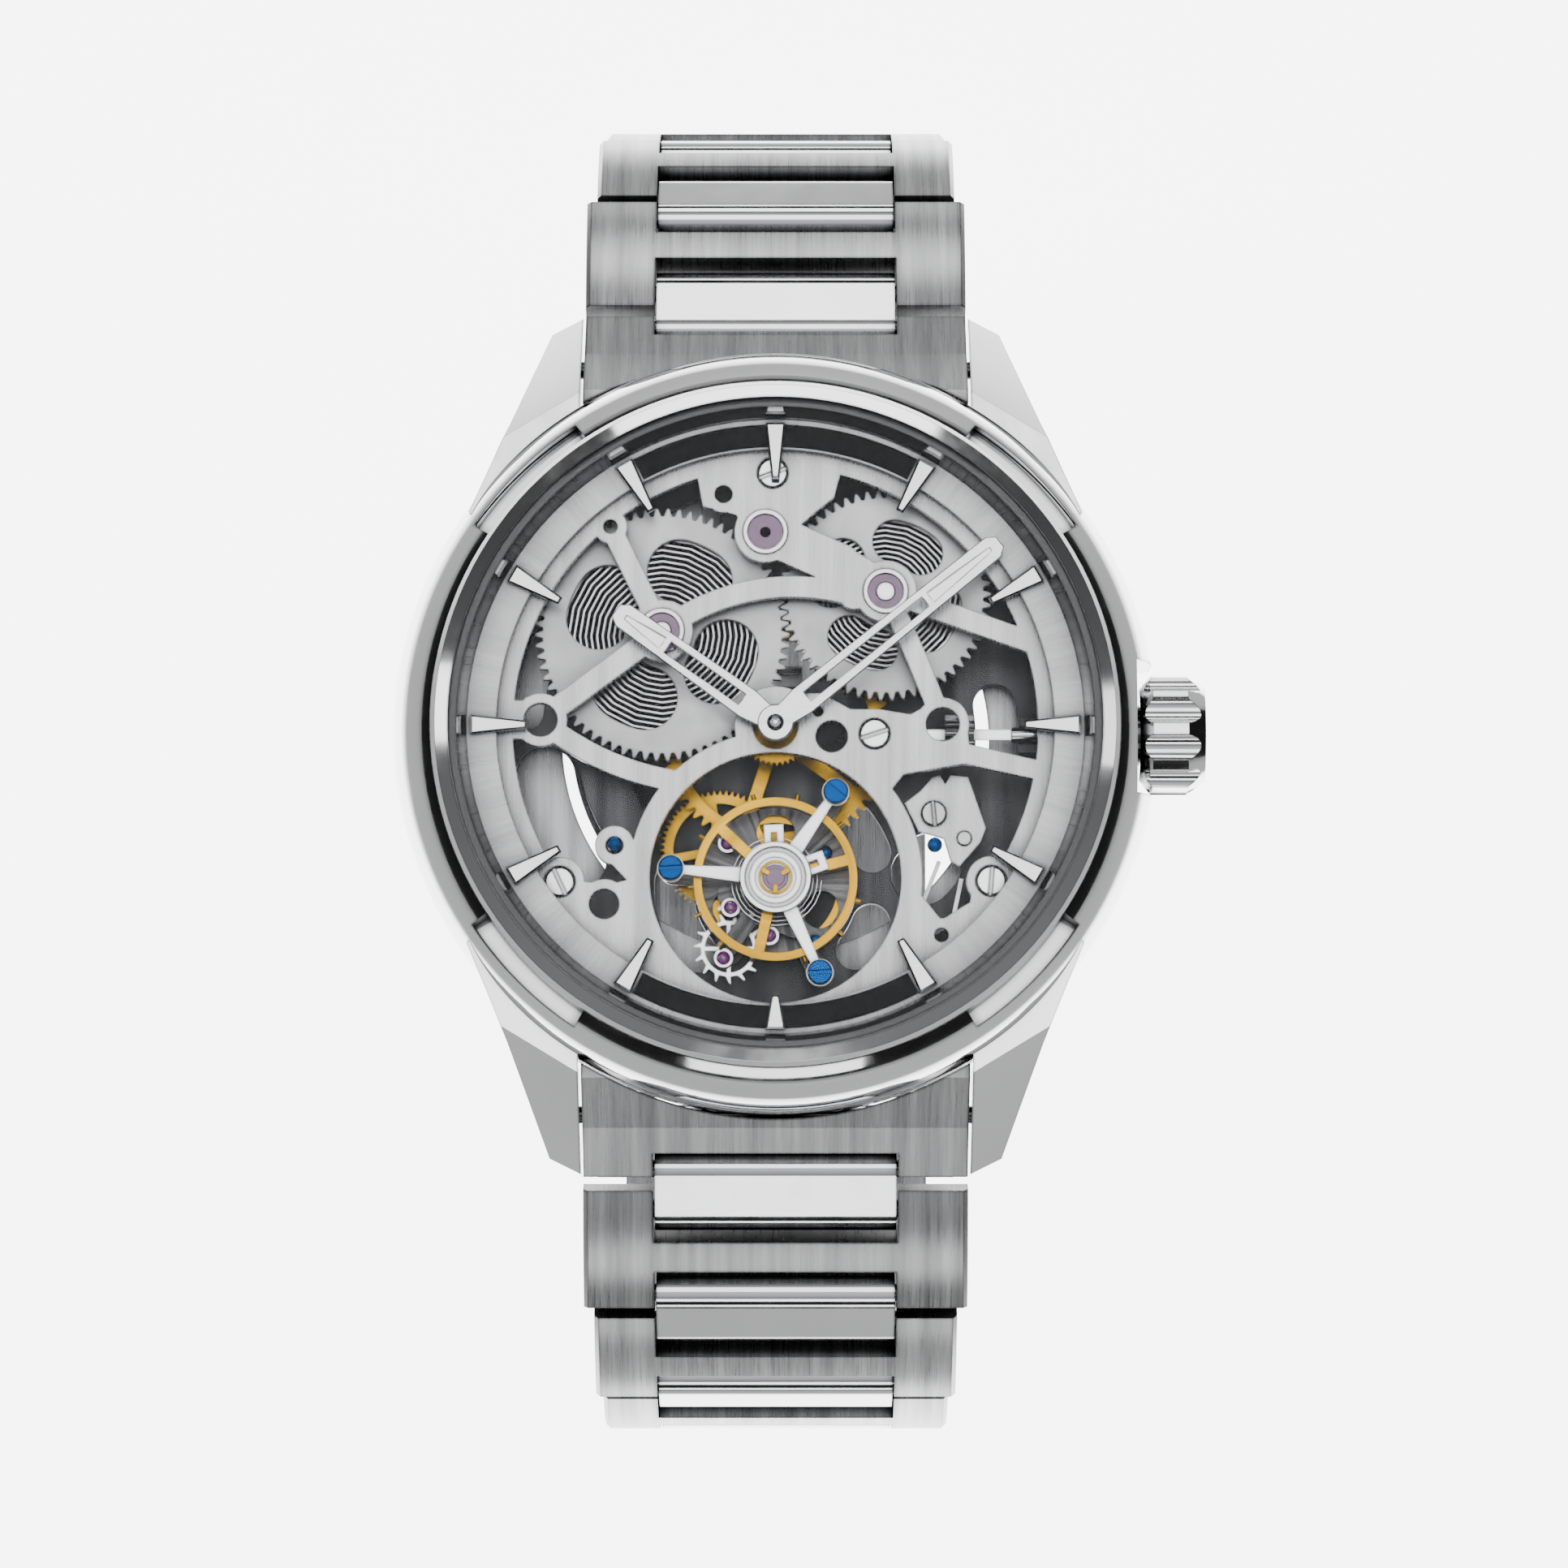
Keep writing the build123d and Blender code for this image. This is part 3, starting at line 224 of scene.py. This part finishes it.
def ruby():
    s = Shader("ruby")
    clouds = s.noise(s.place(), (2500, 2500, 2500), 2.0)
    colour = s.tint(clouds, (0.03, 0.0, 0.035), (0.13, 0.0, 0.14))
    s.link(colour, s.bsdf.inputs["Base Color"])
    # The emission is a painted glow: the stones shine with their own light, as if lit from within.
    s.link(colour, s.bsdf.inputs["Emission Color"])
    s.bsdf.inputs["Emission Strength"].default_value = 0.6
    s.bsdf.inputs["Roughness"].default_value = 0.06
    s.bsdf.inputs["IOR"].default_value = 1.77
    s.bsdf.inputs["Subsurface Weight"].default_value = 0.3
    s.bsdf.inputs["Subsurface Radius"].default_value = (0.4 * MM, 0.05 * MM, 0.1 * MM)
    s.relief(clouds, 0.2e-6, 0.05 * MM)
    return s.material


def lume():
    s = Shader("lume")
    grains = s.noise(s.place(), (30000, 30000, 30000), 2.0)
    s.link(s.tint(grains, (0.80, 0.82, 0.80), (0.95, 0.96, 0.94)), s.bsdf.inputs["Base Color"])
    s.bsdf.inputs["Roughness"].default_value = 0.6
    # The emission is a painted glow that keeps the white fill bright under any light.
    s.bsdf.inputs["Emission Color"].default_value = (1.0, 1.0, 0.97, 1)
    s.bsdf.inputs["Emission Strength"].default_value = 1.2
    s.relief(grains, 1e-6)
    return s.material


STEEL_DARK, STEEL_LIGHT = (0.24, 0.242, 0.248), (0.42, 0.423, 0.43)
BRIGHT_DARK, BRIGHT_LIGHT = (0.66, 0.665, 0.675), (0.76, 0.765, 0.775)
GOLD_DARK, GOLD_LIGHT = (0.36, 0.19, 0.006), (0.60, 0.34, 0.014)
EDGE_WIDE = 0.12 * MM    # rounding drawn on the edges of plates
EDGE_SHADE_WIDTH = 0.16 * MM          # width of a plate's dark outline, painted shade along its edges
CREVICE_SHADE_REACH = 1.6 * MM          # reach of the painted shade in crevices

M = {
    "polish": metal("polished_steel", BRIGHT_DARK, BRIGHT_LIGHT, 0.08, spread=0.05, painted_edge_shade=0.22 * MM, painted_shade_reach=0.8 * MM,
                    painted_shade_floor=0.06),
    "brush_y": metal("brushed_along", STEEL_DARK, STEEL_LIGHT, 0.30, "y", edge=EDGE_WIDE, painted_edge_shade=0.3 * MM,
                     painted_shade_reach=CREVICE_SHADE_REACH),
    "dial": metal("dial_brushed", (0.34, 0.342, 0.348), (0.48, 0.483, 0.49), 0.30, "radial", edge=EDGE_WIDE,
                  painted_edge_shade=EDGE_SHADE_WIDTH, painted_shade_reach=CREVICE_SHADE_REACH),
    "bridge": metal("bridge_brushed", (0.36, 0.362, 0.368), (0.52, 0.523, 0.53), 0.27, "y", edge=EDGE_WIDE,
                    painted_edge_shade=EDGE_SHADE_WIDTH, painted_shade_reach=CREVICE_SHADE_REACH),
    "plate": metal("plate_grained", (0.02, 0.02, 0.022), (0.09, 0.09, 0.094), 0.34, "y", edge=EDGE_WIDE,
                   painted_edge_shade=EDGE_SHADE_WIDTH, painted_shade_reach=3.5 * MM, painted_shade_floor=0.02),
    "satin": metal("satin_steel", (0.36, 0.362, 0.368), (0.44, 0.442, 0.45), 0.33, depth=0.4e-6, edge=EDGE_WIDE,
                   painted_edge_shade=EDGE_SHADE_WIDTH, painted_shade_reach=CREVICE_SHADE_REACH),
    "fan": metal("cage_grained", (0.01, 0.01, 0.011), (0.16, 0.16, 0.165), 0.30, "radial", origin=CAGE_CENTRE,
                 painted_shade_reach=CREVICE_SHADE_REACH),
    "gold": metal("gilt", GOLD_DARK, GOLD_LIGHT, 0.24, "ring", painted_edge_shade=EDGE_SHADE_WIDTH, painted_shade_reach=CREVICE_SHADE_REACH, painted_shade_floor=0.25),
    "gold_cage": metal("gilt_balance", GOLD_DARK, GOLD_LIGHT, 0.2, "ring", origin=CAGE_CENTRE, painted_edge_shade=0.10 * MM),
    "spring": metal("spring_steel", (0.34, 0.34, 0.35), (0.50, 0.50, 0.51), 0.22, "ring", edge=0.03 * MM),
    # near-black steel that stands in for shade: painted shade
    "dark": metal("painted_shade_steel", (0.004, 0.004, 0.005), (0.012, 0.012, 0.013), 0.45, "y"),
    "hand": metal("hand_brushed", (0.62, 0.623, 0.63), (0.76, 0.763, 0.77), 0.24, "x", edge=0.02 * MM),
    "blue": metal("blued_steel", (0.0, 0.02, 0.10), (0.001, 0.06, 0.24), 0.14, edge=0.08 * MM, painted_edge_shade=0.12 * MM),
    "glass": glass("sapphire"),
    "ruby": ruby(),
    "lume": lume(),
}

PAINT = {
    "case_middle": "polish", "bezel": "polish", "crystal": "glass", "case_back": "brush_y",
    "case_back_crystal": "glass", "case_back_screws": "polish", "crown_tube": "polish", "crown": "polish",
    "stem": "polish", "dial_ring": "dial", "hour_markers": "polish", "hour_hand": "hand",
    "minute_hand": "hand", "main_plate": "plate", "top_bridge": "bridge", "bridge_screws": "polish",
    "jewels": "ruby", "jewel_settings": "polish", "fixed_wheel": "gold_cage", "setting_cover": "bridge",
    "setting_spring": "spring", "barrel_left": "satin", "barrel_right": "satin", "mainsprings": "spring",
    "barrel_arbors": "polish", "centre_wheel": "gold", "third_wheel": "gold", "minute_wheel": "plate",
    "hour_wheel": "gold", "cannon_pinion": "polish", "cage_floor": "fan", "cage_roof": "polish",
    "cage_screws": "blue", "cage_jewel": "ruby", "balance_wheel": "gold_cage", "balance_staff": "polish",
    "hairspring": "spring", "escape_wheel": "polish", "pallet_fork": "polish", "sliding_pinion": "polish",
    "end_link_upper": "brush_y", "end_link_lower": "brush_y", "spring_bars": "polish",
    "clasp_shell": "brush_y", "clasp_blade_outer": "brush_y", "clasp_blade_inner": "brush_y",
}


def paint(node, *names):
    mesh = NODES[node].data
    mesh.materials.clear()
    for name in names:
        mesh.materials.append(M[name])


def paint_where(node, test):
    """Gives the node's second material to each face whose middle and normal pass the test."""
    for face in NODES[node].data.polygons:
        face.material_index = 1 if test(face.center / MM, face.normal) else 0


def paint_all():
    for node in NODES:
        paint(node, PAINT.get(node, "brush_y"))
    for node in ("barrel_left", "barrel_right"):
        # the drum's lower faces, inside the barrel, get near-black steel: painted shade in the recess
        paint(node, "satin", "dark")
        paint_where(node, lambda at, normal: at.z < 6.15)
    paint("dial_ring", "dial", "plate")
    paint_where("dial_ring", lambda at, normal: normal.z > 0.9 and at.z < 9.15)
    paint("hour_markers", "polish", "lume")
    paint_where("hour_markers", lambda at, normal: normal.z > 0.95)
    for side in ("upper", "lower"):
        for number in range(1, 8):
            paint_link(f"{side}_link_{number}")


def paint_link(node):
    """The middle bar is the inner part of the link, nearer its first hinge: it is polished, and the frame brushed."""
    paint(node, "brush_y", "polish")
    joint = next(j for j in frame["joints"] if j["child"] == node)
    hinge = Vector(joint["pos_m"]) / MM
    paint_where(node, lambda at, normal: abs(at.x) < 6.95 and (at - Vector((at.x, hinge.y, hinge.z))).length < 3.75)


# ------------------------------------------------------------------ finer pieces
def add_piece(name, body, material, points, faces):
    """A mesh, in millimetres in the row frame, that rides a body."""
    mesh = bpy.data.meshes.new(name)
    mesh.from_pydata([Vector(p) * MM for p in points], [], faces)
    mesh.materials.append(M[material])
    piece = bpy.data.objects.new(name, mesh)
    bpy.context.scene.collection.objects.link(piece)
    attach(piece, body)
    return piece


def add_prism(name, body, material, outline, low, high):
    """An outline in X and Y, made solid between two heights."""
    count = len(outline)
    points = [(x, y, low) for x, y in outline] + [(x, y, high) for x, y in outline]
    faces = [tuple(reversed(range(count))), tuple(range(count, 2 * count))]
    faces += [(k, (k + 1) % count, (k + 1) % count + count, k + count) for k in range(count)]
    return add_piece(name, body, material, points, faces)


def add_turned(name, body, material, centre, profile, steps=48):
    """A profile of (radius, height) turned about the vertical through centre."""
    count = len(profile)
    points = []
    faces = []
    for step in range(steps):
        a = 2 * math.pi * step / steps
        points += [(centre[0] + r * math.cos(a), centre[1] + r * math.sin(a), z) for r, z in profile]
        for k in range(count - 1):
            near, far = step * count + k, (step + 1) % steps * count + k
            faces.append((near, far, far + 1, near + 1))
    return add_piece(name, body, material, points, faces)


def turned(x, y, degrees):
    a = math.radians(degrees)
    return x * math.cos(a) - y * math.sin(a), x * math.sin(a) + y * math.cos(a)


def add_pin(name, body, material, centre, radius, low, high):
    """A round head with a softly domed top."""
    dome = [(radius * math.cos(math.radians(a)), high + 0.35 * radius * math.sin(math.radians(a)))
            for a in (0, 25, 50, 75)]
    return add_turned(name, body, material, centre, [(radius, low)] + dome + [(0.0, high + 0.35 * radius)], 24)


JEWEL_SPOTS = {"left": (-5.9, 5.3), "right": (6.05, 7.65), "top": (-0.57, 11.06)}


def add_plate(name, body, material, outline, holes, low, high, bevel):
    """An outline with holes in it, made solid between two heights, with rounded edges."""
    curve = bpy.data.curves.new(name, "CURVE")
    curve.dimensions = "2D"
    curve.fill_mode = "BOTH"
    curve.extrude = ((high - low) / 2 - bevel) * MM
    curve.bevel_depth = bevel * MM
    curve.bevel_resolution = 1
    curve.offset = -bevel * MM
    for loop in [outline] + holes:
        spline = curve.splines.new("POLY")
        spline.points.add(len(loop) - 1)
        for point, (x, y) in zip(spline.points, loop):
            point.co = (x * MM, y * MM, 0, 1)
        spline.use_cyclic_u = True
    drawn = bpy.data.objects.new(name, curve)
    bpy.context.scene.collection.objects.link(drawn)
    mesh = bpy.data.meshes.new_from_object(drawn.evaluated_get(bpy.context.evaluated_depsgraph_get()))
    bpy.data.objects.remove(drawn)
    mesh.materials.clear()
    mesh.materials.append(M[material])
    piece = bpy.data.objects.new(name, mesh)
    piece.location.z = (low + high) / 2 * MM
    bpy.context.scene.collection.objects.link(piece)
    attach(piece, body)
    return piece


def circle(radius, start=0, end=360, steps=32):
    turns = [math.radians(start + (end - start) * k / steps) for k in range(steps)]
    return [(radius * math.cos(a), radius * math.sin(a)) for a in turns]


def add_flat_hand(name, body, length, width, split, low, high, angle, bore):
    """A hand with a flat brushed top, in place of the roofed one."""
    half, tip, wide = width / 2, width / 2 - 0.14, width / 2 - 0.52
    outline = circle(1.0, 42.5, 317.5) + [
        (0.74, -0.68), (1.9, -half), (length - 0.5, -tip), (length, -tip + 0.35), (length, tip - 0.35),
        (length - 0.5, tip), (1.9, half),
    ]
    slot = [(2.3, -wide), (split - 0.2, -wide), (split - 0.2, wide), (2.3, wide)]
    end = [(split + 0.2, -wide), (length - 0.7, -0.1), (length - 0.7, 0.1), (split + 0.2, wide)]
    loops = [[turned(x, y, angle) for x, y in loop] for loop in (outline, circle(bore), slot, end)]
    hand = add_plate(name, body, "hand", loops[0], loops[1:], low, high, 0.06)
    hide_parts(name.replace("_flat", ""))


def add_hand_fill(name, body, length, width, split, low, high, angle):
    """The white fill in the closed slot of a hand, beyond split."""
    wide = width / 2 - 0.57
    outline = [(split + 0.22, -wide), (length - 0.72, -0.09), (length - 0.72, 0.09), (split + 0.22, wide)]
    add_prism(name, body, "lume", [turned(x, y, angle) for x, y in outline], low + 0.02, high)


def add_details():
    add_flat_hand("hour_hand_flat", "hour_pipe", 11.0, 1.75, 7.6, 9.8, 10.1, 144.5, 0.85)
    add_flat_hand("minute_hand_flat", "minute_arbor", 16.2, 1.7, 11.0, 10.3, 10.62, 39.0, 0.42)
    add_hand_fill("hour_hand_fill", "hour_pipe", 11.0, 1.75, 7.6, 9.8, 10.02, 144.5)
    add_hand_fill("minute_hand_fill", "minute_arbor", 16.2, 1.7, 11.0, 10.3, 10.55, 39.0)
    add_pin("centre_pin", "minute_arbor", "polish", (0, 0), 0.42, 10.5, 10.64)
    cage = (0, -8.5)
    rings = [(1.98, 8.6), (1.98, 8.64), (1.74, 8.64), (1.74, 8.6)]
    add_turned("cage_collar", "cage", "polish", cage, rings)
    groove = [(1.45, 8.35), (1.45, 8.46), (1.15, 8.46), (1.15, 8.35)]
    add_turned("cage_inner_collar", "cage", "polish", cage, groove)
    lyre = [(0.95, 8.36), (0.95, 8.42), (0.82, 8.42), (0.82, 8.36)]
    add_turned("shock_spring_ring", "cage", "gold_cage", cage, lyre)
    for k in range(3):
        outline = [turned(x, y, 30 + 120 * k) for x, y in ((0.4, -0.12), (0.9, -0.16), (0.9, 0.16), (0.4, 0.12))]
        spots = [(x + cage[0], y + cage[1]) for x, y in outline]
        add_prism(f"shock_spring_leg_{k + 1}", "cage", "gold_cage", spots, 8.55, 8.6)
    for k, spot in enumerate(((-2.71, -6.35), (-2.53, -9.99), (-0.34, -11.58), (-2.93, -12.85))):
        add_pin(f"cage_stone_{k + 1}", "cage", "ruby", spot, 0.36, 6.15, 6.2)
        ring = [(0.55, 6.15), (0.55, 6.22), (0.38, 6.22), (0.38, 6.15)]
        add_turned(f"cage_stone_ring_{k + 1}", "cage", "polish", spot, ring, 24)
    for k, spot in enumerate(((2.84, -6.76), (2.25, -11.8))):
        add_pin(f"cage_blue_screw_{k + 1}", "cage", "blue", spot, 0.38, 4.75, 5.0)
    for k, spot in enumerate(((-9.03, -6.62), (8.94, -6.67))):
        add_pin(f"bridge_blue_screw_{k + 1}", "case", "blue", spot, 0.42, 8.3, 8.5)


# ------------------------------------------------------------------ stage
def add_floor():
    """A round paper floor with a painted pool of light: it glows white under the watch, and its glow and colour fade
    to grey away from it.
    """
    mesh = bpy.data.meshes.new("floor")
    corners = [(3 * math.cos(a), 3 * math.sin(a), FLOOR_Z) for a in (k * math.pi / 16 for k in range(32))]
    mesh.from_pydata(corners, [], [tuple(range(32))])
    floor = bpy.data.objects.new("floor", mesh)
    bpy.context.scene.collection.objects.link(floor)
    s = Shader("floor")
    split = s.polar(s.place())
    radius = s.node("ShaderNodeSeparateXYZ")
    s.link(split, radius.inputs[0])
    # painted pool of light: glow and colour fall off with the distance from the watch
    painted_light_pool = s.ramp(radius.outputs["X"], 1.0, 0.05, 0.072, 0.11)
    s.link(s.tint(painted_light_pool, (0.4, 0.4, 0.4), (0.95, 0.95, 0.95)), s.bsdf.inputs["Base Color"])
    s.link(s.tint(painted_light_pool, (0, 0, 0), (1.0, 1.0, 1.0)), s.bsdf.inputs["Emission Color"])
    s.bsdf.inputs["Emission Strength"].default_value = 6.0
    s.bsdf.inputs["Roughness"].default_value = 0.9
    mesh.materials.append(s.material)


def softbox(name, azimuth, elevation, distance, size, radiance):
    """A rectangular light of even brightness, aimed at the dial."""
    a, e = math.radians(azimuth), math.radians(elevation)
    at = DIAL_CENTRE + distance * Vector((math.cos(a) * math.cos(e), math.sin(a) * math.cos(e), math.sin(e)))
    data = bpy.data.lights.new(name, "AREA")
    data.shape = "RECTANGLE"
    data.size, data.size_y = size
    data.energy = radiance * math.pi * size[0] * size[1]
    light = bpy.data.objects.new(name, data)
    light.location = at
    light.rotation_euler = (DIAL_CENTRE - at).to_track_quat("-Z", "Y").to_euler()
    bpy.context.scene.collection.objects.link(light)


def add_world():
    """A dim studio: dark low down, lighter overhead."""
    world = bpy.data.worlds.new("studio")
    world.use_nodes = True
    tree = world.node_tree
    direction = tree.nodes.new("ShaderNodeTexCoord")
    split = tree.nodes.new("ShaderNodeSeparateXYZ")
    ramp = tree.nodes.new("ShaderNodeValToRGB")
    stops = ((0.0, 0.02), (0.3, 0.01), (0.6, 0.04), (0.85, 0.35), (1.0, 0.9))
    for k, (where, grey) in enumerate(stops):
        stop = ramp.color_ramp.elements[k] if k < 2 else ramp.color_ramp.elements.new(where)
        stop.position = where
        stop.color = (grey, grey, grey * 1.02, 1)
    tree.links.new(direction.outputs["Generated"], split.inputs[0])
    tree.links.new(split.outputs["Z"], ramp.inputs[0])
    tree.links.new(ramp.outputs["Color"], tree.nodes["Background"].inputs["Color"])
    bpy.context.scene.world = world


def add_lights():
    add_world()
    softbox("overhead", 90, 80, 0.7, (0.40, 0.30), 2.4)
    softbox("behind", 90, 38, 0.7, (0.5, 0.22), 4.0)
    softbox("left", 168, 42, 0.7, (0.12, 0.5), 4.0)
    softbox("right", 8, 44, 0.7, (0.12, 0.5), 2.5)
    softbox("front", 270, 42, 0.7, (0.26, 0.16), 3.5)
    for number, azimuth in enumerate((57, 123, 237, 303)):
        softbox(f"corner_{number + 1}", azimuth, 27, 0.7, (0.16, 0.20), 3.5)
    softbox("far", 90, 9, 0.7, (0.40, 0.14), 3.0)
    softbox("near", 270, 9, 0.7, (0.40, 0.14), 3.0)


def add_camera():
    data = bpy.data.cameras.new("camera")
    data.lens = CAMERA_LENS
    data.sensor_width = 36
    data.clip_start = 0.01
    camera = bpy.data.objects.new("camera", data)
    tilt = math.radians(CAMERA_TILT)
    camera.location = CAMERA_TARGET + CAMERA_DISTANCE * Vector((0, -math.sin(tilt), math.cos(tilt)))
    camera.rotation_euler = (tilt, 0, 0)
    bpy.context.scene.collection.objects.link(camera)
    bpy.context.scene.camera = camera


paint_all()
add_details()
add_floor()
add_lights()
add_camera()
